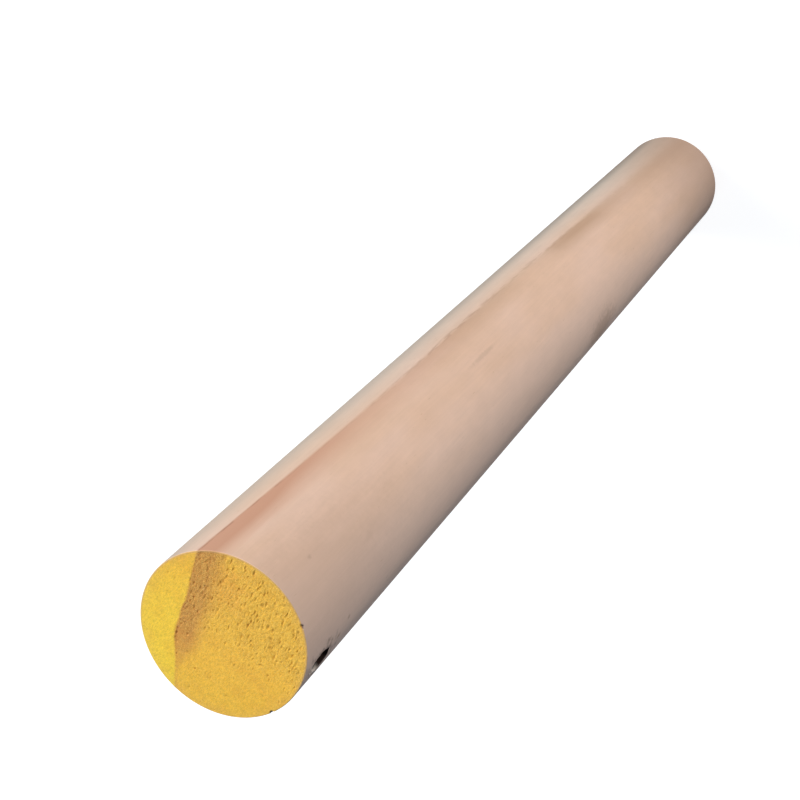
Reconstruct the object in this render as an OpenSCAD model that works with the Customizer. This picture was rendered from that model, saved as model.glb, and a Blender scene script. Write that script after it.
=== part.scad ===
// Wooden dowel rod: one turned length of timber, sawn square at both ends.
// It stands on its bare end. The other end is painted as a size mark, and an
// open knot hole and two chips in the rim lie near the paint.
// Origin at the centre of the bare end, +Z along the rod to the painted end.

/* [Rod] */
// Diameter of the rod
rod_d = 30; // [12:0.5:60]
// Length of the rod, from the bare end to the paint
rod_length = 300; // [60:5:900]
// Width of the sanded chamfer on the rim of each end
rim_chamfer = 0.2; // [0.1:0.05:1]

/* [Paint] */
// Thickness of the paint on the marked end, part of the length
paint_film = 0.1; // [0.05:0.05:0.3]

/* [Knot hole] */
// Distance from the painted end to the middle of the hole's mouth
knot_from_end = 6.6; // [5:0.1:12]
// Turn of the knot hole about the rod, from +X towards +Y
knot_bearing = 201; // [0:1:359]
// Diameter of the hole at the rod's surface, square to its own line
knot_mouth_d = 3; // [2:0.1:5]
// Diameter of the hole at its foot
knot_foot_d = 1.8; // [1:0.1:3]
// Depth of the hole along its own line
knot_depth = 9; // [5:0.5:12]
// Lean of the hole away from the painted end, so that its mouth is a long oval
knot_lean = 64; // [30:1:70]

/* [Rim chips] */
// Diameter of the bite that each chip takes from the painted rim
chip_d = 0.9; // [0.4:0.1:2]
// Turns of the chips about the rod, from +X towards +Y
chip_bearings = [164, 238]; // [0:1:359]

/* [Hidden] */
$fn = 96;
rod_r = rod_d / 2;
// How far a cutting shape stands out past the face that it cuts
cut_over = 2;

// Half section of the timber, with both rims chamfered
module rod_half_section() {
    polygon([
        [0, 0],
        [rod_r - rim_chamfer, 0],
        [rod_r, rim_chamfer],
        [rod_r, rod_length - rim_chamfer],
        [rod_r - rim_chamfer, rod_length],
        [0, rod_length],
    ]);
}

// The turned rod, from the bare end to the outer face of the paint
module rod_blank() {
    rotate_extrude() rod_half_section();
}

// The slice of the rod's length that is paint
module paint_slice() {
    translate([0, 0, rod_length - paint_film])
        cylinder(h = paint_film + cut_over, r = rod_r + cut_over);
}

// Tapered pit that a dead knot left: it leans down the rod and is round at its foot
module knot_pit() {
    taper = (knot_mouth_d - knot_foot_d) / (2 * knot_depth);
    reach_out = knot_mouth_d / 2 * tan(knot_lean) + cut_over;
    rotate([0, 0, knot_bearing])
        translate([rod_r, 0, rod_length - knot_from_end])
            rotate([0, -90 - knot_lean, 0]) {
                translate([0, 0, -reach_out])
                    cylinder(
                        h = knot_depth + reach_out,
                        r1 = knot_mouth_d / 2 + taper * reach_out,
                        r2 = knot_foot_d / 2
                    );
                translate([0, 0, knot_depth])
                    sphere(d = knot_foot_d);
            }
}

// Small round bites out of the painted rim
module rim_chips() {
    for (bearing = chip_bearings)
        rotate([0, 0, bearing])
            translate([rod_r, 0, rod_length])
                sphere(d = chip_d);
}

module dowel_rod() {
    color("burlywood")
        difference() {
            rod_blank();
            paint_slice();
            knot_pit();
            rim_chips();
        }
    color("gold")
        difference() {
            intersection() {
                rod_blank();
                paint_slice();
            }
            rim_chips();
        }
}

dowel_rod();
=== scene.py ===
"""Wooden dowel rod with one painted end: its visible skin, its finishes and a plain stage.

The rod stands on its bare end with its length along +Z. The settings are in metres. The mesh
code counts in millimetres, and scales once when the mesh is made.
"""

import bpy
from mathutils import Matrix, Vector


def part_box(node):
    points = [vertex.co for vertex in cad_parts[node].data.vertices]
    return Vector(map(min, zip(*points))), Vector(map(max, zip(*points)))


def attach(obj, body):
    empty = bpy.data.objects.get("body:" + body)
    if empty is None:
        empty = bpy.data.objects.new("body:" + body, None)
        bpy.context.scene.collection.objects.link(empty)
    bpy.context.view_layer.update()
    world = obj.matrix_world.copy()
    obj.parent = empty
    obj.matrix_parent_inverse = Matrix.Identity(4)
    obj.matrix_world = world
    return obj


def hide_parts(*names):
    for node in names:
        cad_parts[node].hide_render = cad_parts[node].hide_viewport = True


bl_info = {
    "name": "Wooden Dowel Rod",
    "version": (1, 0, 0),
    "blender": (4, 5, 0),
    "location": "3D View > Sidebar > Dowel",
    "description": "Builds a turned dowel rod with one painted end, and a plain stage for it",
    "category": "Add Mesh",
}

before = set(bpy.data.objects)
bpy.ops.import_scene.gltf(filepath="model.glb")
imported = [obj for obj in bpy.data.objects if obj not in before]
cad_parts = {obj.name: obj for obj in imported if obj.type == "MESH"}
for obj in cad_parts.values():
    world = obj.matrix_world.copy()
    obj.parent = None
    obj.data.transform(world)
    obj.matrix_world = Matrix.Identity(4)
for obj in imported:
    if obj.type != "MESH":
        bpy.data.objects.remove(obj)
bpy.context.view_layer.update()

import math

import bpy
import numpy as np
from bpy.props import FloatProperty, FloatVectorProperty, PointerProperty
from bpy.types import Operator, Panel, PropertyGroup
from mathutils import Matrix, Vector, noise

ROD_NODE = "dowel_rod"
ROD_LOW, ROD_HIGH = (Vector(corner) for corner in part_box(ROD_NODE))
MM = 1000.0


# ---- settings


def size(name, description, default, low=0.0, high=2.0):
    """A length in metres that shows with its unit."""
    return FloatProperty(
        name=name, description=description, default=default, min=low, max=high,
        precision=5, subtype="DISTANCE", unit="LENGTH",
    )


def vector(name, description, subtype, x, y, z):
    """A place in metres, or a direction."""
    unit = "LENGTH" if subtype == "TRANSLATION" else "NONE"
    return FloatVectorProperty(
        name=name, description=description, default=(x, y, z), subtype=subtype, unit=unit
    )


def turn(name, description, degrees):
    """An angle, written here in degrees."""
    return FloatProperty(
        name=name, description=description, default=math.radians(degrees),
        subtype="ANGLE", unit="ROTATION",
    )


def share(name, description, default, high=1.0):
    """A plain number from nothing up to a limit."""
    return FloatProperty(name=name, description=description, default=default, min=0.0, max=high)


def colour(name, description, red, green, blue):
    """A colour as a screen shows it, from 0 to 255, kept as linear light."""
    linear = [
        c / 12.92 if c <= 0.04045 else ((c + 0.055) / 1.055) ** 2.4
        for c in (red / 255, green / 255, blue / 255)
    ]
    return FloatVectorProperty(
        name=name, description=description, default=linear, min=0.0, max=1.0,
        size=3, subtype="COLOR",
    )


class RodSizes(PropertyGroup):
    diameter: size("Diameter", "Across the rod", ROD_HIGH.x - ROD_LOW.x, 0.005)
    length: size("Length", "From the bare end to the paint", ROD_HIGH.z - ROD_LOW.z, 0.03)
    arris: size("Arris", "Width of the broken edge at each end", 0.0002, 0.00005)
    furrow: size("Furrow", "Depth of the furrows that sanding leaves along the grain", 0.00001)
    chip: size("Chip", "Diameter of each chip in the painted rim", 0.0009)
    first_chip: turn("First chip", "Its turn about the rod from +X", 238)
    second_chip: turn("Second chip", "Its turn about the rod from +X", 164)


class KnotHoleSizes(PropertyGroup):
    from_end: size("From end", "Painted end to the middle of the mouth", 0.0066)
    bearing: turn("Bearing", "Turn about the rod from +X", 201)
    mouth: size("Mouth", "Diameter at the surface, square to the hole's line", 0.003)
    foot: size("Foot", "Diameter at the bottom", 0.0018)
    depth: size("Depth", "Along the hole's own line", 0.009)
    lean: turn("Lean", "Lean away from the painted end", 64)


class SawnEndSizes(PropertyGroup):
    torn: size("Torn grain", "Depth of the torn grain on the painted end", 0.00005)
    pit: size("Pit", "Depth of the deeper pits", 0.00022)
    saw_mark: size("Saw mark", "Depth of the saw marks on the bare end", 0.00004)


class WoodLook(PropertyGroup):
    pale: colour("Pale wood", "Most of the rod", 223, 189, 167)
    warm: colour("Warm wood", "Slow changes of colour", 220, 184, 158)
    streak: colour("Streak", "The brown sheet near the painted end", 196, 149, 123)
    old_streak: colour("Old streak", "The brown sheet further down the rod", 186, 151, 124)
    edge: colour("Edge", "The dark line along the sheet's sharp side", 140, 100, 80)
    # sapwood_and_side_light is the pale wood's own colour, greyed partly by a painted tint of the
    # cool side light.
    sapwood_and_side_light: colour("Sapwood", "Wood outside the brown streak, further from it", 196, 183, 168)
    # inner is painted shade: the cooler, greyer tint of the side turned away from the lamps.
    inner: colour("Inner wood", "Wood on the other side of the rod", 209, 181, 163)
    fleck: colour("Fleck", "Fine flecks along the grain", 176, 140, 114)
    # darker_wood darkens a few marks and the wood towards the bare end.
    darker_wood: colour("Soiled", "Handled places and the wood near the bare end", 172, 143, 124)
    # edge_shade is painted shade: it darkens the rod along its +X edge.
    edge_shade: colour("Weathered", "The greyed strip along the pale side", 122, 110, 100)
    end_grain: colour("End grain", "The bare sawn end", 200, 164, 132)
    late_ring: colour("Late ring", "The dark part of each ring", 172, 134, 104)
    # knot is the knot's dark brown, made near black as painted shade in the hole and in the rim's
    # chips.
    knot: colour("Knot", "The wall of the knot hole", 30, 17, 11)
    knot_lip: colour("Knot lip", "The crumbly wood at the mouth of the hole", 202, 188, 174)
    knot_stain: colour("Knot stain", "The stained wood round the hole", 104, 84, 74)


class PaintLook(PropertyGroup):
    golden: colour("Golden", "Most of the painted end", 243, 184, 60)
    lemon: colour("Lemon", "The paint over the pale wood", 247, 202, 61)
    stained: colour("Stained", "The paint over the brown sheet", 206, 142, 62)
    # hollow is painted shade in the pits, and the colour of the sheet's dark line on the painted
    # end.
    hollow: colour("Hollow", "The bottoms of the pits", 150, 80, 14)
    # glint is a painted highlight on fibres that stand up through the paint.
    glint: colour("Crest", "Fibres that stand up through the paint", 255, 226, 124)
    worn: colour("Worn rim", "Thin paint at the rim, with the wood showing", 196, 156, 112)


class StageLook(PropertyGroup):
    lens: size("Lens", "Focal length, for a sensor 36 mm wide", 0.07564, 0.01)
    place: vector("Camera", "Where the camera stands", "TRANSLATION", 0.0, -0.17768, 0.50669)
    view: vector("View", "Where the camera looks", "DIRECTION", 0.023214, 0.512078, -0.858625)
    up: vector("Up", "What is up in the picture", "DIRECTION", 0.702257, -0.619633, -0.350558)
    floor: size("Floor", "Width of the floor", 6.0, 1.0, 20.0)
    front: share("Front", "Strength of the large lamp in front", 18.0, 1000.0)
    side: share("Side", "Strength of the high lamp at the side", 26.0, 1000.0)
    back: share("Back", "Strength of the low lamp behind", 12.0, 1000.0)
    around: share("Around", "Light from all round", 0.12)


# ---- skin of the rod

AROUND = 360  # points round the rod near the painted end; the rim has twice as many
BLOCK, BLOCK_DOWN = 32, 1.15  # the knot hole's patch: faces across it, and how far down it starts
LIP_ROWS, WALL_ROWS, FOOT_ROWS = 12, 34, 5  # rows of faces round the mouth and in the hole
LONG_FACE = 3.0  # length of the faces on the plain side
PAINTED, ARRIS, SIDE, HOLE, SAWN = range(5)


class Skin:
    """Points and faces of one closed surface in millimetres, and the zone of each face."""

    def __init__(self):
        self.rows, self.faces, self.zones, self.last, self.count = [], [], [], [], 0

    def add(self, points):
        """Adds points and returns their numbers."""
        points = np.asarray(points, float).reshape(-1, 3)
        self.rows.append(points)
        self.count += len(points)
        return list(range(self.count - len(points), self.count))

    def face(self, zone, *corners):
        self.faces.append(corners)
        self.zones.append(zone)

    def add_threes(self, zone, threes, as_given):
        for three in threes:
            self.face(zone, *(three if as_given else three[::-1]))

    def follow(self, points, zone):
        """Adds a closed row below the last one, which may have twice or half as many points."""
        last, row = self.last, self.add(points)
        if len(row) == len(last):
            for i in range(len(row)):
                k = (i + 1) % len(row)
                self.face(zone, row[i], row[k], last[k], last[i])
        elif len(row) < len(last):
            self.halve(last, row, zone, True)
        else:
            self.halve(row, last, zone, False)
        self.last = row

    def halve(self, fine, coarse, zone, fine_above):
        """Three-sided faces from a ring to one with half as many points."""
        for i in range(len(coarse)):
            k = (i + 1) % len(coarse)
            a, b, c = fine[2 * i], fine[2 * i + 1], fine[(2 * i + 2) % len(fine)]
            threes = ((coarse[i], b, a), (coarse[i], coarse[k], b), (coarse[k], c, b))
            self.add_threes(zone, threes, fine_above)

    def disc(self, rim, radius, height, start, zone, facing_up):
        """Fills a rim with rings that lose six points at each step, so its faces stay even."""
        steps = len(rim) // 6
        numbers, outer = list(rim), rim
        for k in range(steps, 0, -1):
            few = max(6 * (k - 1), 1)
            inner = self.add(ring(radius * (k - 1) / steps, height, few, start))
            numbers += inner
            for sector in range(6):
                for i in range(k):
                    o, n = sector * k + i, sector * (k - 1) + i
                    here, beyond, first = outer[o], outer[(o + 1) % (6 * k)], inner[n % few]
                    threes = [(first, here, beyond)]
                    if i < k - 1:
                        threes.append((first, beyond, inner[(n + 1) % few]))
                    self.add_threes(zone, threes, facing_up)
            outer = inner
        return numbers


def ring(radius, height, count, start):
    """A ring of points about the rod's axis, the first at the turn called start."""
    turns = start + np.arange(count) * (2 * math.pi / count)
    flat = np.stack([np.cos(turns), np.sin(turns)], 1) * radius
    return np.column_stack([flat, np.full(count, height)])


def rod_reach(sizes):
    """The rod's radius and length in millimetres."""
    return sizes.diameter / 2 * MM, sizes.length * MM


def from_axis(points):
    """Distance of each point from the rod's axis."""
    return np.hypot(points[:, 0], points[:, 1])


def outwards(bearing):
    """The direction that leads away from the axis at a turn from +X."""
    return np.array([math.cos(bearing), math.sin(bearing), 0.0])


def nearest_turn(turns):
    """The same turns, each at most half a turn either way."""
    return (turns + math.pi) % (2 * math.pi) - math.pi


def smooth_step(value, low, high):
    """Nought at low, one at high, and level at both."""
    share_of = np.clip((value - low) / (high - low), 0, 1)
    return share_of * share_of * (3 - 2 * share_of)


def noise_at(points, *scale, shift=0.0):
    """Smooth noise about nought at each point, with its own grain size along X, Y and Z."""
    stretched = points / np.array(scale) + shift
    return np.array([noise.noise(Vector(p)) for p in stretched])


def hole_frame(hole, radius, top):
    """The hole's middle at the surface, its line into the wood and two directions across it."""
    out, up, lean = outwards(hole.bearing), np.array([0.0, 0.0, 1.0]), hole.lean
    middle = out * radius + up * (top - hole.from_end * MM)
    line = -out * math.cos(lean) - up * math.sin(lean)
    across = np.array([-out[1], out[0], 0.0])
    tip = up * math.cos(lean) - out * math.sin(lean)
    return middle, line, across, tip


def hole_arm(hole, turns, across, tip, depth):
    """The way from the hole's line to its wall at each turn: ragged, and torn at its two tips."""
    taper = (hole.mouth - hole.foot) / 2 / hole.depth
    plain = (hole.mouth / 2) * MM - taper * depth
    around = np.column_stack([np.cos(turns), np.sin(turns), depth])
    ragged = noise_at(around * (2.2, 2.2, 0.35), 1.0) + 0.5 * noise_at(
        around * (7, 7, 0.8) + (0, 0, 5), 1.0
    )
    tips = np.abs(np.sin(turns)) ** 12
    reach = plain * (1 + 0.09 * ragged + 0.10 * tips * np.exp(-np.maximum(depth, 0)))
    return reach[:, None] * (np.cos(turns)[:, None] * across + np.sin(turns)[:, None] * tip)


def hole_mouth(hole, turns, radius, top):
    """Where each side of the hole comes out through the rod's surface, and its depth there."""
    middle, line, across, tip = hole_frame(hole, radius, top)
    depth = np.zeros(len(turns))
    for _ in range(6):
        foot = middle + hole_arm(hole, turns, across, tip, depth)
        a = line[0] ** 2 + line[1] ** 2
        b = foot[:, 0] * line[0] + foot[:, 1] * line[1]
        c = foot[:, 0] ** 2 + foot[:, 1] ** 2 - radius**2
        depth = (-b - np.sqrt(np.maximum(b * b - a * c, 0))) / a
    return foot + depth[:, None] * line, depth


def cut_hole(skin, hole, frame_loop, radius, top):
    """Leads the skin from the loop round the patch to the ragged mouth, and down to the foot."""
    middle, line, across, tip = hole_frame(hole, radius, top)
    outer = np.concatenate(skin.rows)[frame_loop]
    from_hole = nearest_turn(np.arctan2(outer[:, 1], outer[:, 0]) - hole.bearing)
    centre_height = (outer[:, 2].max() + outer[:, 2].min()) / 2
    turns = np.arctan2(outer[:, 2] - centre_height, from_hole * radius)
    mouth, start_depth = hole_mouth(hole, turns, radius, top)
    mouth_turn = nearest_turn(np.arctan2(mouth[:, 1], mouth[:, 0]) - hole.bearing)
    skin.last = frame_loop
    for k in range(1, LIP_ROWS + 1):
        near = 1 - (1 - k / LIP_ROWS) ** 1.6
        bearing = hole.bearing + from_hole * (1 - near) + mouth_turn * near
        height = outer[:, 2] * (1 - near) + mouth[:, 2] * near
        at_mouth = k == LIP_ROWS
        lip = radius - (0.05 if at_mouth else 0.0)
        row = np.column_stack([lip * np.cos(bearing), lip * np.sin(bearing), height])
        skin.follow(row, HOLE if at_mouth else SIDE)
    foot, deep = hole.depth * MM, hole.foot / 2 * MM
    for k in range(1, WALL_ROWS + 1):
        along = (k / WALL_ROWS) ** 1.25
        depth = start_depth * (1 - along) + foot * along
        arm = hole_arm(hole, turns, across, tip, depth)
        skin.follow(middle + depth[:, None] * line + arm, HOLE)
    arm = hole_arm(hole, turns, across, tip, np.full(len(turns), foot))
    for k in range(1, FOOT_ROWS):
        swing = math.pi / 2 * k / FOOT_ROWS
        on_line = middle + line * (foot + deep * math.sin(swing))
        skin.follow(on_line + arm * math.cos(swing), HOLE)
    last, end = skin.last, skin.add([middle + line * (foot + deep)])[0]
    for i in range(len(last)):
        skin.face(HOLE, end, last[(i + 1) % len(last)], last[i])


def lay_out_rod(sizes, hole):
    """The rod's plain skin: painted end, arris, side with its hole, arris and bare end."""
    skin = Skin()
    (radius, top), arris = rod_reach(sizes), sizes.arris * MM
    pitch = 2 * math.pi * radius / AROUND
    start = hole.bearing - (BLOCK / 2) * 2 * math.pi / AROUND
    skin.last = skin.add(ring(radius - arris, top, AROUND * 2, start))
    painted = skin.disc(skin.last, radius - arris, top, start, PAINTED, True)
    for k in range(1, 5):
        swing = math.pi / 2 * k / 4
        out, down = arris * (1 - math.sin(swing)), arris * (1 - math.cos(swing))
        row = ring(radius - out, top - down, AROUND * 2, start)
        skin.follow(row, ARRIS if k < 3 else SIDE)
    for down in (0.33, 0.48, 0.66):
        skin.follow(ring(radius, top - down, AROUND * 2, start), SIDE)
    skin.follow(ring(radius, top - 0.9, AROUND, start), SIDE)
    skin.follow(ring(radius, top - BLOCK_DOWN, AROUND, start), SIDE)

    # These rows leave the hole's patch open, and cut_hole fills it.
    rows = [skin.last]
    for i in range(1, BLOCK + 1):
        last, row = rows[-1], skin.add(ring(radius, top - BLOCK_DOWN - i * pitch, AROUND, start))
        for j in range(BLOCK, AROUND):
            k = (j + 1) % AROUND
            skin.face(SIDE, row[j], row[k], last[k], last[j])
        rows.append(row)
    loop = rows[0][:BLOCK] + [r[BLOCK] for r in rows[:-1]]
    loop += rows[-1][BLOCK:0:-1] + [r[0] for r in rows[:0:-1]]
    cut_hole(skin, hole, loop, radius, top)
    skin.last = rows[-1]

    upper, lower = top - BLOCK_DOWN - BLOCK * pitch - 0.5, 2.0
    skin.follow(ring(radius, upper, AROUND // 2, start), SIDE)
    steps = int((upper - lower) / LONG_FACE)
    for i in range(1, steps + 1):
        level = upper - (upper - lower) * i / steps
        skin.follow(ring(radius, level, AROUND // 2, start), SIDE)
    for level in (1.5, 1.0, 0.6, 0.35):
        skin.follow(ring(radius, level, AROUND, start), SIDE)
    for k in range(0, 4):
        swing = math.pi / 2 * k / 3
        out, up = arris * (1 - math.cos(swing)), arris * (1 - math.sin(swing))
        skin.follow(ring(radius - out, up, AROUND, start), SIDE)
    bare = skin.disc(skin.last, radius - arris, 0.0, start, SAWN, False)
    return skin, painted, bare


# ---- relief of the skin

# The brown sheet that runs through the rod: the direction across it and along it, the place of
# its sharp edge at the painted end, its bow, and where along the sheet the bow is greatest.
SHEET_ACROSS = np.array([-0.8844, -0.4667, 0.0])
SHEET_ALONG = np.array([-0.4667, 0.8844, 0.0])
SHEET_EDGE, SHEET_BOW, SHEET_MIDDLE = -7.45, 0.00367, 1.5
# How far the sharp edge swells out into the pale wood, by the place along the sheet.
SHEET_SWELL = (
    (-15.0, 0.05), (-10.0, -0.1), (-5.0, -0.2), (-1.7, 0.25), (0.5, 0.4), (2.8, 0.65),
    (4.7, 0.45), (6.5, 0.15), (10.0, -0.2), (15.0, -0.4),
)

# The way the saw laid the torn fibres on the painted end, and the way across them.
TEAR_ALONG, TEAR_ACROSS = np.array([-0.259, 0.966, 0.0]), np.array([0.966, 0.259, 0.0])


def past_sheet_edge(points):
    """Distance from the sheet's sharp edge at the painted end, less than nought in pale wood."""
    along = points @ SHEET_ALONG
    bow = SHEET_BOW * (along - SHEET_MIDDLE) ** 2
    swell = np.interp(along, *np.transpose(SHEET_SWELL))
    return points @ SHEET_ACROSS - SHEET_EDGE - bow + swell


def roughness_of_cut(points):
    """How badly the saw tore the painted end, from nought to one."""
    x, y = -points[:, 0], -points[:, 1]
    patches = 0.5 + 0.8 * noise_at(points, 3.4, 3.4, 3.4, shift=31.0)
    torn = 0.30 + 0.70 * smooth_step(y + 2.0 * patches, -3.5, 5.5)
    calm_right = smooth_step(x, 6.0, 10.5) * (1 - smooth_step(y, 2.0, 5.0))
    torn *= 1 - 0.55 * calm_right
    past = past_sheet_edge(points)
    in_sheet = smooth_step(past, -0.2, 0.3) * (1 - smooth_step(past, 2.0, 3.6))
    torn = np.maximum(torn, in_sheet * smooth_step(y, -7.0, -3.0))
    return torn * (0.16 + 0.84 * smooth_step(past, -0.5, 0.4))


def scattered_pits(torn_at, radius):
    """Places, half widths, half lengths and depths of pits, more of them where the cut is torn."""
    chance = np.random.default_rng(7)
    places = chance.uniform(-radius, radius, (2600, 2))
    places = places[from_axis(places) < radius - 0.5]
    torn = torn_at(np.column_stack([places, np.zeros(len(places))]))
    kept = chance.uniform(0, 1, len(places)) < 0.34 * torn**1.4
    places, torn = places[kept], torn[kept]
    half_wide = chance.uniform(0.09, 0.14, len(places))
    half_long = chance.uniform(0.18, 0.50, len(places)) * (0.6 + 0.6 * torn)
    deep = chance.uniform(0.25, 1.0, len(places)) * (0.45 + 0.55 * torn)
    return np.column_stack([places, half_wide, half_long, deep])


# Single deeper marks in the painted end: place by X and Y, half width, half length and depth.
SINGLE_PITS = (
    (5.6, 6.3, 0.16, 0.42, 1.0), (5.3, 7.2, 0.12, 0.30, 0.8), (6.0, 5.4, 0.13, 0.24, 0.8),
    (-0.6, 9.0, 0.24, 0.20, 1.0), (-8.3, -4.2, 0.12, 0.85, 0.9), (1.1, -9.9, 0.12, 0.80, 0.8),
    (-7.6, -1.2, 0.20, 0.22, 0.7), (13.2, -1.4, 0.14, 0.24, 0.5), (9.4, 10.2, 0.12, 0.20, 0.4),
)


def relieve_painted_end(points, ends, radius):
    """Depth of the torn grain and the pits at each point of the painted end, and how hollow and
    how torn it is there, from nought to one."""
    rough = roughness_of_cut(points)
    laid = np.column_stack([points @ TEAR_ACROSS, points @ TEAR_ALONG, points[:, 2]])
    coarse = noise_at(laid, 0.27, 0.75, 1.0, shift=3.7)
    fine = noise_at(laid, 0.17, 0.36, 1.0, shift=11.2)
    broad = noise_at(points, 4.5, 6.0, 1.0, shift=50.0)
    torn = np.clip(0.25 - 1.5 * coarse, 0, 1) + 0.45 * np.clip(0.2 - fine, 0, 1)
    depth = rough * torn * ends.torn * MM + 0.02 * (0.5 + broad)
    pits = np.vstack([scattered_pits(roughness_of_cut, radius), SINGLE_PITS])
    hollow = np.zeros(len(points))
    for x, y, wide, long, deep in pits:
        middle = np.array([x, y, 0.0])
        across, along = laid[:, 0] - middle @ TEAR_ACROSS, laid[:, 1] - middle @ TEAR_ALONG
        near = (np.abs(across) < wide * 1.5) & (np.abs(along) < long * 1.5)
        from_middle = np.hypot(across[near] / wide + 0.4 * coarse[near], along[near] / long)
        hollow[near] = np.maximum(hollow[near], deep * (1 - smooth_step(from_middle, 0.35, 1.2)))
    off_rim = smooth_step(radius - from_axis(points), 0.0, 0.5)
    depth += hollow * ends.pit * MM * (0.35 + 0.65 * off_rim)
    hollow = np.clip(hollow + 0.5 * rough * np.clip(-0.1 - coarse, 0, 1), 0, 1)
    return np.maximum(depth, 0.0), hollow, rough


def relieve_bare_end(points, ends):
    """Depth of the straight saw marks and the open pores at each point of the bare end."""
    wander = noise_at(points, 5.0, 5.0, 1.0, shift=70.0)
    across = points[:, 0] * 0.94 + points[:, 1] * 0.34 + 0.35 * wander
    marks = 0.5 + 0.5 * np.sin(across * 2 * math.pi / 1.15)
    fuzz = np.clip(noise_at(points, 0.5, 0.9, 1.0, shift=20.0), 0, 1)
    return (marks * (0.6 + 0.6 * wander) + 0.8 * fuzz) * ends.saw_mark * MM


def furrow_side(points, depth):
    """Draws the side in by the furrows that sanding leaves, which run along the grain."""
    reach = from_axis(points)
    slow = noise_at(points, 2.6, 2.6, 60.0, shift=9.0)
    quick = noise_at(points, 0.9, 0.9, 24.0, shift=40.0)
    inwards = depth * np.clip(0.9 + 0.8 * slow + 0.5 * quick, 0, 2.2)
    points[:, :2] *= ((reach - inwards) / reach)[:, None]


def bite_chip(points, bearing, diameter, radius, top):
    """Pushes the points inside a small ball on the painted rim back to the ball's surface."""
    out = outwards(bearing)
    centre = out * radius + np.array([0, 0, top])
    away = (-out - np.array([0, 0, 1.0])) / math.sqrt(2)
    from_centre = points - centre
    uneven = 1 + 0.3 * noise_at(points, 0.3, 0.3, 0.3, shift=13.0)
    ball = diameter / 2 * uneven
    along, squared = from_centre @ away, (from_centre**2).sum(1)
    gap = np.maximum(along**2 - squared + ball**2, 0)
    push = np.where(squared < ball**2, np.sqrt(gap) - along, 0)
    points += push[:, None] * away
    return push


def shape_rod(sizes, hole, ends):
    """The skin, its finished points in millimetres, and how hollow and how torn each point is
    and how deep in the hole it lies, from nought to one."""
    skin, painted, bare = lay_out_rod(sizes, hole)
    points = np.concatenate(skin.rows)
    radius, top = rod_reach(sizes)
    in_hole = np.zeros(len(points), bool)
    in_hole[[n for f, z in zip(skin.faces, skin.zones) if z == HOLE for n in f]] = True
    hollow, torn = np.zeros(len(points)), np.zeros(len(points))
    side = (from_axis(points) > radius - 1e-6) & ~in_hole
    sided = points[side]
    furrow_side(sided, sizes.furrow * MM)
    points[side] = sided
    depth, hollow[painted], torn[painted] = relieve_painted_end(points[painted], ends, radius)
    points[painted, 2] -= depth
    points[bare, 2] += relieve_bare_end(points[bare], ends)
    for bearing in (sizes.first_chip, sizes.second_chip):
        push = bite_chip(points, bearing, sizes.chip * MM, radius, top)
        hollow = np.maximum(hollow, np.clip(push / 0.2, 0, 1))
    full_depth = 3.9  # under the rod's surface
    hole_depth = np.where(in_hole, np.clip((radius - from_axis(points)) / full_depth, 0, 1), 0)
    return skin, points, {"hollow": hollow, "torn": torn, "hole_depth": hole_depth}


def unwrap(points, faces, zones, hole, radius, top):
    """Places on the flat map, face by face, in shares of its side: two lengths of the rod's
    side next to each other, and over them the painted end, the bare end and the hole."""
    sheet, edge, disc_scale, hole_scale = 200.0, 2.0, 1.35, 1.45
    seam, half = math.radians(90), top / 2
    hole_middle, line, across, tip = hole_frame(hole, radius, top)
    foot = (hole.depth + hole.foot / 2) * MM
    places = []
    for face, zone in zip(faces, zones):
        corners = points[list(face)]
        if zone in (PAINTED, ARRIS, SAWN):
            centre = (24.0, 177.0) if zone != SAWN else (68.0, 177.0)
            flat = corners[:, :2] * disc_scale + centre
        elif zone == HOLE:
            arm = corners - hole_middle
            turns, from_foot = np.arctan2(arm @ tip, arm @ across), foot - arm @ line
            flat = np.stack([np.cos(turns), np.sin(turns)], 1) * from_foot[:, None] * hole_scale
            flat += (115.0, 177.0)
        else:
            middle = corners.mean(0)
            turn_of = (math.atan2(middle[1], middle[0]) - seam) % (2 * math.pi)
            swing = nearest_turn(np.arctan2(corners[:, 1], corners[:, 0]) - seam - turn_of)
            over, up = (turn_of + swing) * radius, corners[:, 2]
            if middle[2] > half:
                up = up - half
            else:
                over = over + 2 * math.pi * radius + 2 * edge
            flat = np.stack([edge + over, edge + up], 1)
        places.append(flat / sheet)
    return np.concatenate(places)


def make_rod_mesh(name, sizes, hole, ends):
    """The mesh of the rod in metres, without the points that no face uses."""
    skin, points, marks = shape_rod(sizes, hole, ends)
    used = np.unique(np.concatenate([np.array(f) for f in skin.faces]))
    number = np.full(len(points), -1)
    number[used] = np.arange(len(used))
    faces = [tuple(int(number[n]) for n in face) for face in skin.faces]
    mesh = bpy.data.meshes.new(name)
    mesh.from_pydata((points[used] / MM).tolist(), [], faces)
    mesh.polygons.foreach_set("use_smooth", [True] * len(faces))
    finish = {PAINTED: 0, ARRIS: 0, SIDE: 1, HOLE: 2, SAWN: 3}
    mesh.polygons.foreach_set("material_index", [finish[z] for z in skin.zones])
    for title, values in marks.items():
        mesh.attributes.new(title, "FLOAT", "POINT").data.foreach_set("value", values[used])
    radius, top = rod_reach(sizes)
    flat = unwrap(points[used], faces, skin.zones, hole, radius, top)
    mesh.uv_layers.new(name="OFBake").uv.foreach_set("vector", flat.astype(np.float32).ravel())
    mesh.update()
    if mesh.validate(verbose=False):
        raise RuntimeError("the rod's mesh had faulty faces")
    return mesh


# ---- node helpers


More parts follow.
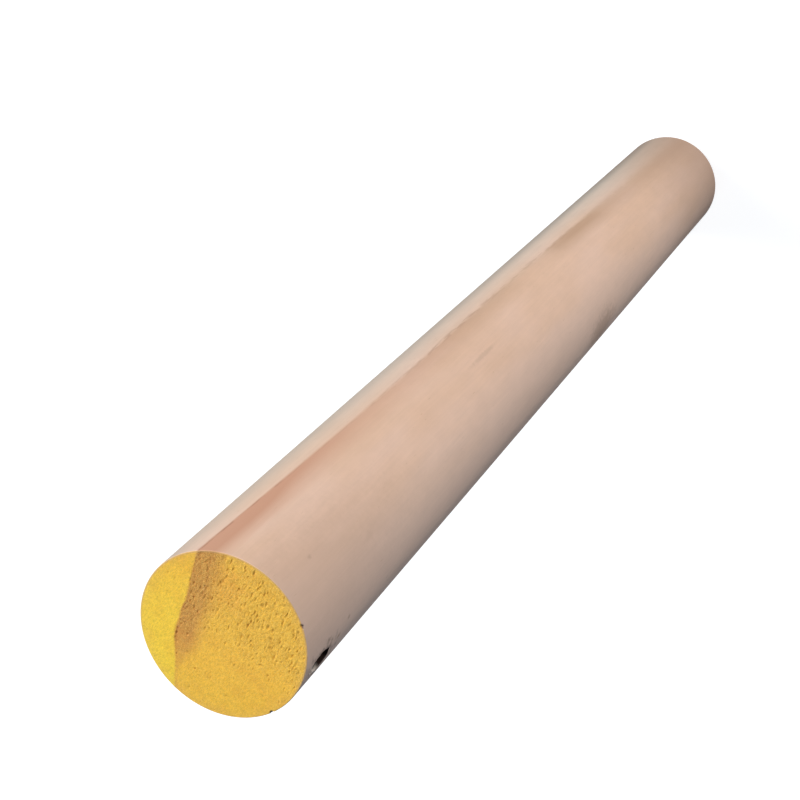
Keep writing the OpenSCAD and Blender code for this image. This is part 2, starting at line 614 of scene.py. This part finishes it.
class Wire:
    """A number, vector or colour on its way from one node to others, with plain sums on it."""

    def __init__(self, bench, socket):
        self.bench, self.socket = bench, socket
        self.is_number = socket.type == "VALUE"

    def __add__(self, other):
        return self.bench.calc("ADD", self, other)

    def __sub__(self, other):
        return self.bench.calc("SUBTRACT", self, other)

    def __rsub__(self, other):
        return self.bench.calc("SUBTRACT", other, self)

    def __mul__(self, other):
        by_parts = self.is_number or isinstance(other, tuple)
        return self.bench.calc("MULTIPLY" if by_parts else "SCALE", self, other)

    def __truediv__(self, other):
        return self.bench.calc("DIVIDE", self, other)

    def along(self, way):
        """How far a vector reaches in a direction."""
        return self.bench.calc("DOT_PRODUCT", self, tuple(way))

    def length(self):
        return self.bench.calc("LENGTH", self)

    def ramp(self, low, high, smooth=True):
        """Nought below low and one above high; low may be the greater."""
        kind = "SMOOTHSTEP" if smooth else "LINEAR"
        made = self.bench.node("MapRange", interpolation_type=kind)
        return self.bench.fill(made, Value=self, From_Min=low, From_Max=high)["Result"]

    def curve(self, points):
        """A smooth line through points, each a pair from nought to one."""
        made = self.bench.node("FloatCurve")
        line = made.mapping.curves[0]
        while len(line.points) < len(points):
            line.points.new(0.5, 0.5)
        for point, place in zip(line.points, points):
            point.location = place
            point.handle_type = "AUTO_CLAMPED"
        made.mapping.update()
        return self.bench.fill(made, Value=self)["Value"]

    def noise(self, scale, detail=2.0, rough=0.5):
        """Soft noise at a place. Its scale is one number, or three for grain drawn out."""
        place = self
        if isinstance(scale, tuple):
            place, scale = self * scale, 1.0
        values = {"Vector": place, "Scale": scale, "Detail": detail, "Roughness": rough}
        return self.bench.fill("TexNoise", **values)["Fac"]

    def mix(self, amount, above):
        """This colour, with another one over it by an amount."""
        return self.bench.mix(amount, self, above)


class Bench:
    """Puts shader nodes together in one tree. A value may be a number, a tuple or a wire."""

    def __init__(self, tree):
        self.tree = tree

    def plug(self, socket, value):
        if isinstance(value, Wire):
            self.tree.links.new(value.socket, socket)
        else:
            socket.default_value = value

    def node(self, kind, **settings):
        made = self.tree.nodes.new(kind if kind.startswith("Node") else "ShaderNode" + kind)
        for key, value in settings.items():
            setattr(made, key, value)
        return made

    def fill(self, made, **values):
        """Plugs the inputs of a node or a new one of a kind, by name with _ for a space, and
        gives its outputs by name."""
        made = self.node(made) if isinstance(made, str) else made
        for name, value in values.items():
            self.plug(made.inputs[name.replace("_", " ")], value)
        return {socket.name: Wire(self, socket) for socket in made.outputs}

    def calc(self, operation, *values):
        """One sum: on vectors where its first value is one, otherwise on numbers."""
        first = values[0]
        on_vectors = isinstance(first, tuple) or isinstance(first, Wire) and not first.is_number
        made = self.node("VectorMath" if on_vectors else "Math", operation=operation)
        by_number = operation == "SCALE"
        sockets = (made.inputs[0], made.inputs["Scale"]) if by_number else made.inputs
        for socket, value in zip(sockets, values):
            self.plug(socket, value)
        gives_vector = on_vectors and operation not in ("DOT_PRODUCT", "LENGTH")
        return Wire(self, made.outputs["Vector" if gives_vector else "Value"])

    def blend(self, kind, *values):
        """A shader made of others, whose sockets go by their order."""
        made = self.node(kind)
        for socket, value in zip(made.inputs, values):
            self.plug(socket, value)
        return Wire(self, made.outputs[0])

    def mix(self, amount, below, above):
        """Two colours, the second one over the first by an amount."""
        made = self.node("Mix", data_type="RGBA", clamp_factor=True)
        self.plug(made.inputs[0], amount)
        for socket, value in zip([s for s in made.inputs if s.type == "RGBA"], (below, above)):
            self.plug(socket, value if isinstance(value, Wire) else (*value, 1.0))
        return Wire(self, next(s for s in made.outputs if s.type == "RGBA"))

    def flat(self, x, y):
        """A vector from its first two parts."""
        return self.fill("CombineXYZ", X=x, Y=y)["Vector"]

    def mark(self, name):
        """A number that the mesh holds at each of its points."""
        return self.fill(self.node("Attribute", attribute_name=name))["Fac"]

    def group(self, tree, **values):
        return self.fill(self.node("Group", node_tree=tree), **values)

    def hand_out(self, **values):
        """Ends a group: plugs its outputs and gives its tree."""
        self.fill("NodeGroupOutput", **values)
        return self.tree


def new_group(name, inputs, outputs):
    """An empty group's bench and its inputs. A tuple as default makes a vector socket."""
    tree = bpy.data.node_groups.new(name, "ShaderNodeTree")
    for way, sockets in (("INPUT", inputs), ("OUTPUT", outputs)):
        for title, default in sockets.items():
            kind = "NodeSocketVector" if isinstance(default, tuple) else "NodeSocketFloat"
            tree.interface.new_socket(title, in_out=way, socket_type=kind).default_value = default
    bench = Bench(tree)
    return bench, bench.fill("NodeGroupInput")


# ---- grain, streak and marks

NOWHERE = (0.0, 0.0, 0.0)  # what a place is until something is plugged in
TIMBER_PLACE = {"Place": NOWHERE, "Down": 0.0, "Along": 0.0, "Past Edge": 0.0}


def timber_place_group(top):
    """Where a point lies in the timber, in millimetres: down the rod, along the brown sheet and
    past its sharp edge, which drifts across the rod on its way down."""
    bench, _ = new_group("Timber Place", {}, TIMBER_PLACE)
    place = bench.fill("TexCoord")["Object"] * MM
    down = top - place.along((0, 0, 1))
    along = place.along(SHEET_ALONG)
    bow = bench.calc("POWER", along - SHEET_MIDDLE, 2.0) * SHEET_BOW
    drift = (down / top).curve(
        ((0, 0), (0.125, 0.175), (0.26, 0.29), (0.45, 0.33), (0.62, 0.44), (0.8, 0.63), (1, 0.76))
    )
    past = place.along(SHEET_ACROSS) - SHEET_EDGE - bow - drift * 8.0
    return bench.hand_out(Place=place, Down=down, Along=along, Past_Edge=past)


def grain_group():
    """Slow changes of colour, fine fibres and short flecks, all drawn out along the rod."""
    inputs = {"Place": NOWHERE, "Fibre Width": 0.4, "Fleck Share": 0.5}
    bench, given = new_group("Wood Grain", inputs, {"Slow": 0.0, "Fibre": 0.0, "Fleck": 0.0})
    place = given["Place"]
    slow = place.noise((0.10, 0.10, 0.022))
    thin = bench.calc("DIVIDE", 1.0, given["Fibre Width"])
    fibre = (place * (1, 1, 0.03) * thin).noise(1.0, 3.0, 0.6)
    dash = place.noise((3.2, 3.2, 0.42), 1.0)
    limit = 0.82 - given["Fleck Share"] * 0.2
    return bench.hand_out(Slow=slow, Fibre=fibre, Fleck=dash.ramp(limit, limit + 0.06))


def brown_sheet_group(top):
    """How much of the brown sheet shows: its wash of colour, sharp on one edge and fading from
    the other, the torn dark fibres at the sharp edge, and the pale wood outside."""
    outputs = {"Wash": 0.0, "Line": 0.0, "Outside": 0.0}
    bench, given = new_group("Brown Sheet", TIMBER_PLACE, outputs)
    place, down, along = given["Place"], given["Down"], given["Along"]
    share_down = down / top
    ragged = place.noise((1.1, 1.1, 0.06), 3.0, 0.6) - 0.5
    # Towards the back of the rod the sheet gets narrower and fainter.
    narrow = along.ramp(2.5, 10.5) * -0.9 + 1.0
    fainter = along.ramp(2.0, 11.0) * -0.75 + 1.0

    swell = (along * (1 / 30) + 0.5).curve(
        [(reach / 30 + 0.5, (amount + 0.5) / 2) for reach, amount in SHEET_SWELL]
    )
    swell = (swell * 2.0 - 0.5) * down.ramp(2.0, 0.0)
    past = swell + (ragged * 0.4 + given["Past Edge"])
    soft = share_down.curve(
        ((0, 0.1), (0.1, 0.12), (0.22, 0.2), (0.62, 0.2), (0.8, 0.6), (1, 0.6))
    )
    begins = past.ramp(soft * -4.4, soft * 1.8)
    full_to = share_down.curve(
        ((0, 0.26), (0.04, 0.25), (0.13, 0.07), (0.5, 0.08), (0.6, 0.14), (1, 0.2))
    )
    ends = past.ramp((ragged * 1.5 + 5.6) * narrow, full_to * 10.0 * narrow, False)
    strength = share_down.curve((
        (0.0, 1.0), (0.06, 1.0), (0.15, 0.80), (0.25, 0.52), (0.33, 0.62), (0.46, 0.52),
        (0.525, 0.22), (0.59, 0.70), (0.65, 0.80), (0.72, 0.55), (0.83, 0.42), (1.0, 0.42),
    ))

    older = down.ramp(50, 90)
    off_line = bench.calc("ABSOLUTE", older * 0.4 + past - 0.1)
    line = off_line.ramp(older * 0.6 + 0.34, 0.05)
    broken = place.noise((1.6, 1.6, 0.22), 3.0).ramp(0.42, 0.58)
    line_strength = share_down.curve((
        (0, 0.9), (0.03, 0.8), (0.08, 0.5), (0.16, 0.2), (0.26, 0.25),
        (0.36, 0.45), (0.48, 0.3), (0.6, 0.3), (0.68, 0.15), (1, 0),
    ))
    return bench.hand_out(
        Wash=begins * ends * strength * fainter,
        Line=line * broken * line_strength * fainter,
        Outside=1.0 - begins,
    )


def soft_mark_group():
    """A soft-edged mark about one place, such as a stain or a rubbed patch."""
    inputs = {"Place": NOWHERE, "Middle": NOWHERE, "Reach": (1.0, 1.0, 1.0), "Ragged": 0.5}
    bench, given = new_group("Soft Mark", inputs, {"Mask": 0.0})
    away = ((given["Place"] - given["Middle"]) / given["Reach"]).length()
    uneven = given["Place"].noise(0.9, 3.0) - 0.5
    return bench.hand_out(Mask=(uneven * given["Ragged"] + away).ramp(1.0, 0.25))


def torn_fibres_group():
    """Short pits where the saw tore out bundles of fibres, as cells of a cracked pattern, and a mask
    of other cells for painted highlights.
    """
    inputs = {"Place": NOWHERE, "Pit Width": 0.22, "Pit Length": 0.5, "Share": 0.5}
    bench, given = new_group("Torn Fibres", inputs, {"Pit": 0.0, "Crest": 0.0, "Height": 0.0})
    bent = given["Place"].noise(0.5) * 0.7
    place = given["Place"] + bench.calc("SCALE", (1.0, 0.6, 0.0), bent)
    laid = bench.flat(
        place.along(TEAR_ACROSS) / given["Pit Width"], place.along(TEAR_ALONG) / given["Pit Length"]
    )
    voronoi = bench.node("TexVoronoi", voronoi_dimensions="2D")
    cell = bench.fill(voronoi, Vector=laid)
    chance = bench.fill("SeparateColor", Color=cell["Color"])
    core = cell["Distance"].ramp(chance["Green"] * 0.28 + 0.30, 0.18)
    pit = core * bench.calc("LESS_THAN", chance["Red"], given["Share"])
    glinting = bench.calc("GREATER_THAN", chance["Red"], 1.0 - given["Share"])
    height = cell["Distance"].ramp(0.1, 0.8) - pit
    return bench.hand_out(Pit=pit, Crest=core * glinting, Height=height)


def on_side(degrees, down, top, radius):
    """A place on the rod's side, in millimetres, by its turn from +X and its distance down."""
    bearing = math.radians(degrees)
    return (radius * math.cos(bearing), radius * math.sin(bearing), top - down)


# ---- finishes


def clear_bench(owner):
    """A bench on the emptied node tree of a material or a world."""
    owner.use_nodes = True
    owner.node_tree.nodes.clear()
    return Bench(owner.node_tree)


def read_timber(bench, groups):
    """Where a point lies in the timber, and how much of the brown sheet shows there."""
    timber = bench.group(groups["place"])
    here = {name.replace(" ", "_"): value for name, value in timber.items()}
    return timber, bench.group(groups["sheet"], **here)


def coat(bench, base, roughness, shine, height, distance, strength):
    """Ends a finish with a Principled shader. The fine relief is as deep as the distance."""
    normal = bench.fill("Bump", Strength=strength, Distance=distance, Height=height)["Normal"]
    values = {"Roughness": roughness, "Specular_IOR_Level": shine, "Normal": normal}
    shader = bench.fill("BsdfPrincipled", Base_Color=base, **values)
    bench.fill("OutputMaterial", Surface=shader["BSDF"])


# Darker marks on the side: turn from +X in degrees, distance from the painted end, reach along
# X, Y and Z, raggedness and strength.
DARKER_MARKS = (
    (250, 0.0, (14.0, 14.0, 62.0), 0.3, 0.36),
    (266, 11.0, (0.6, 0.7, 0.9), 1.4, 0.4),
    (247, 28.5, (1.0, 1.0, 2.6), 0.8, 0.12),
    (279, 103.0, (0.7, 0.8, 11.0), 0.9, 0.26),
    (208, 172.0, (6.0, 6.0, 15.0), 1.1, 0.6),
    (205, 13.0, (0.7, 0.7, 1.0), 1.0, 0.9),
    (212, 16.5, (0.6, 0.6, 0.8), 1.0, 0.7),
)


def bare_wood_finish(material, groups, look, sizes, hole):
    """Sanded bare wood: pale, with the brown streak, fine fibres and a few darker marks."""
    bench = clear_bench(material)
    radius, top = rod_reach(sizes)
    timber, sheet = read_timber(bench, groups)
    place, down, past = timber["Place"], timber["Down"], timber["Past Edge"]
    grain = bench.group(groups["grain"], Place=place, Fibre_Width=0.45, Fleck_Share=0.4)
    fibre = grain["Fibre"]

    base = bench.mix(grain["Slow"].ramp(0.35, 0.65), look.pale, look.warm)
    # The pale wood outside the streak. Part of its grey tint is painted light, the colour of the
    # cool side lamp.
    base = base.mix(past.ramp(1.5, -8.0, False), look.sapwood_and_side_light)
    # Painted shade: a cooler, greyer colour on the side turned away from the lamps.
    base = base.mix(past.ramp(11.0, 23.0), look.inner)
    mottle = place.noise((0.35, 0.35, 0.14), 3.0, 0.6) * 0.13 + 0.935
    middle = down.ramp(100, 180) * down.ramp(275, 215)
    base = base * (fibre * 0.11 + 0.945) * (middle * 0.035 + mottle)
    base = base.mix(grain["Fleck"] * 0.3, look.fleck)

    brown = bench.mix(down.ramp(50, 140), look.streak, look.old_streak)
    base = base.mix(sheet["Wash"], brown)
    base = base.mix(sheet["Line"] * 0.6, look.edge)

    at = on_side(math.degrees(hole.bearing), hole.from_end * MM - 0.2, top, radius)
    stain = bench.group(groups["mark"], Place=place, Middle=at, Reach=(3.4, 3.4, 6.4), Ragged=2.2)
    base = base.mix(stain["Mask"] * 0.6, look.knot_stain)
    # Painted shade in the chips of the rim, in the knot's colour.
    base = base.mix(bench.mark("hollow") * 0.8, look.knot)
    # Darker towards the bare end.
    base = base.mix(down.ramp(top - 75, top + 12) * 0.64, look.darker_wood)
    # Painted shade along the +X side of the rod, stronger towards the bare end.
    strip = place.along((1, 0, 0)).ramp(radius * 0.81, radius * 1.01)
    base = base.mix(strip * (down.ramp(40, 250) * 0.4 + 0.2), look.edge_shade)
    for degrees, from_top, reach, ragged, amount in DARKER_MARKS:
        at = on_side(degrees, from_top, top, radius)
        mark = bench.group(groups["mark"], Place=place, Middle=at, Reach=reach, Ragged=ragged)
        base = base.mix(mark["Mask"] * amount, look.darker_wood)
    coat(bench, base, fibre * 0.2 + 0.68, 0.03, fibre, 0.00003, 0.6)


def end_paint_finish(material, groups, look, sizes):
    """A thin coat of yellow on sawn end grain: the wood's colours stain it from below, with painted
    shade in its pits and painted highlights on its fibres.
    """
    bench = clear_bench(material)
    radius, top = rod_reach(sizes)
    timber, sheet = read_timber(bench, groups)
    place, along = timber["Place"], timber["Along"]
    hollow, torn = bench.mark("hollow"), bench.mark("torn")
    columns = bench.flat(place.along(TEAR_ACROSS * 3.2), place.along(TEAR_ALONG * 0.45))
    uneven = columns.noise(1.0, 2.0, 0.6) * 1.6 + 0.2
    often = (torn * 0.33 + 0.04) * uneven
    fibres = bench.group(groups["fibres"], Place=place, Pit_Width=0.30, Pit_Length=0.58, Share=often)
    often = (torn * 0.30 + 0.15) * uneven
    fine = bench.group(groups["fibres"], Place=place, Pit_Width=0.22, Pit_Length=0.40, Share=often)
    blotch = place.noise(0.28, 3.0, 0.6)
    coarse = place.noise((1.5, 0.9, 1.0), 3.0, 0.7)
    grit = place.noise((4.2, 1.8, 1.0), 3.0, 0.65)

    lemon = sheet["Outside"] * along.ramp(-15.0, 2.0)
    base = bench.mix(lemon, look.golden, look.lemon)
    at = (5.4, -7.2, top)
    patch = bench.group(groups["mark"], Place=place, Middle=at, Reach=(6, 6, 6), Ragged=1.2)
    base = base.mix(patch["Mask"], base * (0.96, 0.86, 0.98))
    base = base.mix(sheet["Wash"], look.stained)
    base = base.mix(sheet["Line"] * 0.5, look.hollow)
    base = base.mix(blotch.ramp(0.42, 0.72), base * (0.95, 0.90, 0.92))
    base = base.mix(along.ramp(4.0, 14.0), base * (0.955, 0.99, 0.93))
    # Lighter where the cut is torn: painted light that offsets the shade of its relief. Coarse and
    # grit vary the tone.
    base = base * (torn * 0.135 + 0.94) * (coarse * 0.46 + 0.77) * (grit * 0.82 + 0.59)

    # Painted highlights on the fibres that stand up through the paint.
    base = base.mix((fine["Crest"] * 0.7 + fibres["Crest"]) * 0.6, look.glint)
    # Painted shade in the pits: the mesh's hollows and the torn fibres' pits darken towards the
    # hollow colour.
    deep = bench.calc("MAXIMUM", hollow * 0.6, fibres["Pit"])
    deep = bench.calc("MAXIMUM", deep, fine["Pit"] * 0.6)
    base = base.mix(deep * (sheet["Wash"] * 0.25 + 0.78), look.hollow)

    to_rim = (place * (1, 1, 0)).length()
    thin = (blotch * 1.5 + to_rim).ramp(radius - 1.6, radius + 1.2) * 0.12
    bared = (grit * 0.5 + to_rim).ramp(radius - 0.2, radius + 0.2)
    bared = bared * along.ramp(9.0, 1.0)
    worn = bench.calc("MINIMUM", bench.calc("MAXIMUM", thin, bared), 0.6)
    base = base.mix(worn, look.worn)
    relief = (fine["Height"] * 0.5 + fibres["Height"]) * (torn * 0.75 + 0.25) + grit
    coat(bench, base, grit * 0.25 + 0.5, 0.25, relief, 0.000026, 0.8)


def sawn_end_finish(material, groups, look):
    """Bare sawn end grain, with the growth rings about a heart that lies outside the rod."""
    bench = clear_bench(material)
    timber, sheet = read_timber(bench, groups)
    place = timber["Place"]
    wander = place.noise(0.16)
    rings = bench.calc("FRACT", (wander * 2.2 + timber["Past Edge"]) / 1.9)
    late = rings.ramp(0.35, 0.93) * rings.ramp(1.0, 0.94)
    pores = place.noise(3.6, 1.0).ramp(0.6, 0.72)
    fuzz = place.noise(5.5)
    base = bench.mix(late * 0.6, look.end_grain, look.late_ring)
    base = base.mix(sheet["Wash"] * 0.8, look.streak)
    base = base.mix(pores * 0.35, look.edge) * (fuzz * 0.16 + 0.92)
    coat(bench, base, fuzz * 0.2 + 0.65, 0.3, fuzz, 0.00008, 0.6)


def knot_wall_finish(material, groups, look, hole):
    """The wall of the knot hole: grey and crumbly at one lip, and nearly black further in, where
    painted shade darkens it.
    """
    bench = clear_bench(material)
    timber = bench.group(groups["place"])
    crust = timber["Place"].noise(1.7, 4.0, 0.75)
    off = crust - 0.5
    depth = off * 0.2 + bench.mark("hole_depth")
    middle = hole.from_end * MM
    reached = off * 3.0 + timber["Down"]
    # Painted shade: the wall turns nearly black with depth and along the undercut half of the hole.
    # The lip is also darker towards its tip by the painted end.
    shadowed_deep = reached.ramp(middle - 1.9, middle + 0.8)
    tip = reached.ramp(middle - 2.2, middle - 3.0)
    dark = bench.calc("MAXIMUM", depth.ramp(0.02, 0.2), shadowed_deep)
    base = bench.mix(dark, look.knot_lip, look.knot)
    base = base * (off * 4.2 + 1.05) * (tip * -0.4 + 1.0)
    coat(bench, base, crust * 0.3 + 0.6, 0.15, crust, 0.0003, 0.9)


# ---- operators


def put(scene, name, data):
    """A new object in the scene."""
    made = bpy.data.objects.new(name, data)
    scene.collection.objects.link(made)
    return made


class DOWEL_OT_rod(Operator):
    """Builds the rod's skin with its painted end, knot hole and chips, and dresses it"""

    bl_idname = "dowel.rod"
    bl_label = "Dowel Rod"

    def execute(self, context):
        scene = context.scene
        sizes, hole, wood = scene.dowel_rod, scene.dowel_hole, scene.dowel_wood
        mesh = make_rod_mesh("rod_skin", sizes, hole, scene.dowel_ends)
        groups = {
            "place": timber_place_group(sizes.length * MM),
            "grain": grain_group(),
            "sheet": brown_sheet_group(sizes.length * MM),
            "mark": soft_mark_group(),
            "fibres": torn_fibres_group(),
        }
        for name in ("end_paint", "bare_wood", "knot_wall", "sawn_end"):
            mesh.materials.append(bpy.data.materials.new(name))
        paint, bare, knot, sawn = mesh.materials
        end_paint_finish(paint, groups, scene.dowel_paint, sizes)
        bare_wood_finish(bare, groups, wood, sizes, hole)
        knot_wall_finish(knot, groups, wood, hole)
        sawn_end_finish(sawn, groups, wood)
        rod = put(scene, "rod_skin", mesh)
        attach(rod, "root")
        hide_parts(ROD_NODE)
        return {"FINISHED"}


def lamp(scene, name, place, aim, size_across, power, tint):
    """A square soft lamp that faces a point."""
    light = bpy.data.lights.new(name, "AREA")
    light.shape, light.size = "SQUARE", size_across
    light.energy, light.color = power, tint
    made = put(scene, name, light)
    made.location = place
    made.rotation_euler = (Vector(aim) - Vector(place)).to_track_quat("-Z", "Y").to_euler()


def seen_directly(bench):
    """One for the rays that show the backdrop: to the lens, in gloss and through glass."""
    rays = bench.fill("LightPath")
    seen = bench.calc("MAXIMUM", rays["Is Camera Ray"], rays["Is Glossy Ray"])
    return bench.calc("MAXIMUM", seen, rays["Is Transmission Ray"])


def stage_finish():
    """Matt pale floor that a lens sees as white, except where the rod's shadow falls."""
    material = bpy.data.materials.new("stage_floor")
    bench = clear_bench(material)
    from_rod = bench.fill("TexCoord")["Object"].length()
    white = seen_directly(bench) * (from_rod.ramp(0.15, 0.9) * 0.14 + 0.86)
    matt = bench.fill("BsdfDiffuse", Color=(0.3, 0.3, 0.3, 1))["BSDF"]
    glow = bench.fill("Emission", Color=(1, 1, 1, 1), Strength=white)["Emission"]
    bench.fill("OutputMaterial", Surface=bench.blend("AddShader", matt, glow))
    return material


def light_world(scene, strength):
    """Even light from all round, and a white backdrop for the lens."""
    scene.world = bpy.data.worlds.new("stage_world")
    bench = clear_bench(scene.world)
    soft = bench.fill("Background", Color=(0.42, 1.0, 1.8, 1), Strength=strength)["Background"]
    white = bench.fill("Background", Color=(1, 1, 1, 1))["Background"]
    pick = bench.blend("MixShader", seen_directly(bench), soft, white)
    bench.fill("OutputWorld", Surface=pick)


class DOWEL_OT_stage(Operator):
    """Lays a pale floor, sets soft studio light and aims the camera"""

    bl_idname = "dowel.stage"
    bl_label = "Stage"

    def execute(self, context):
        scene = context.scene
        look = scene.dowel_stage
        half = look.floor / 2
        mesh = bpy.data.meshes.new("stage_floor")
        corners = [(-half, -half, 0), (half, -half, 0), (half, half, 0), (-half, half, 0)]
        mesh.from_pydata(corners, [], [(0, 1, 2, 3)])
        mesh.materials.append(stage_finish())
        floor = put(scene, "stage_floor", mesh)

        aim = (0, 0, 0.17)
        lamp(scene, "front", (0.13, -1.46, 0.47), aim, 0.8, look.front, (1.04, 1.0, 0.95))
        lamp(scene, "side", (0.96, 0.40, 1.25), aim, 0.9, look.side, (0.98, 1.0, 1.0))
        lamp(scene, "back", (-0.35, 1.45, 0.14), aim, 0.5, look.back, (1.0, 1.0, 1.0))
        light_world(scene, look.around)

        camera = put(scene, "camera", bpy.data.cameras.new("camera"))
        camera.data.sensor_width = 36.0
        camera.data.lens = look.lens * MM
        camera.data.clip_start = 0.01
        back = -Vector(look.view).normalized()
        right = Vector(look.up).cross(back).normalized()
        up = back.cross(right)
        facing = Matrix((right, up, back)).transposed().to_4x4()
        camera.matrix_world = Matrix.Translation(look.place) @ facing
        scene.camera = camera
        scene.view_settings.view_transform = "Standard"
        return {"FINISHED"}


class DOWEL_PT_panel(Panel):
    bl_label = "Dowel Rod"
    bl_idname = "DOWEL_PT_panel"
    bl_space_type = "VIEW_3D"
    bl_region_type = "UI"
    bl_category = "Dowel"

    def draw(self, context):
        for operator in OPERATORS:
            self.layout.operator(operator.bl_idname)
        for name, group in SETTINGS:
            box = self.layout.box()
            held = getattr(context.scene, name)
            for key in group.__annotations__:
                box.prop(held, key)


SETTINGS = (
    ("dowel_rod", RodSizes),
    ("dowel_hole", KnotHoleSizes),
    ("dowel_ends", SawnEndSizes),
    ("dowel_wood", WoodLook),
    ("dowel_paint", PaintLook),
    ("dowel_stage", StageLook),
)
OPERATORS = (DOWEL_OT_rod, DOWEL_OT_stage)


def register():
    for name, group in SETTINGS:
        bpy.utils.register_class(group)
        setattr(bpy.types.Scene, name, PointerProperty(type=group))
    for made in (*OPERATORS, DOWEL_PT_panel):
        bpy.utils.register_class(made)


def unregister():
    for made in (DOWEL_PT_panel, *reversed(OPERATORS)):
        bpy.utils.unregister_class(made)
    for name, group in reversed(SETTINGS):
        delattr(bpy.types.Scene, name)
        bpy.utils.unregister_class(group)


def main():
    register()
    bpy.ops.dowel.rod()
    bpy.ops.dowel.stage()


if __name__ == "__main__":
    main()
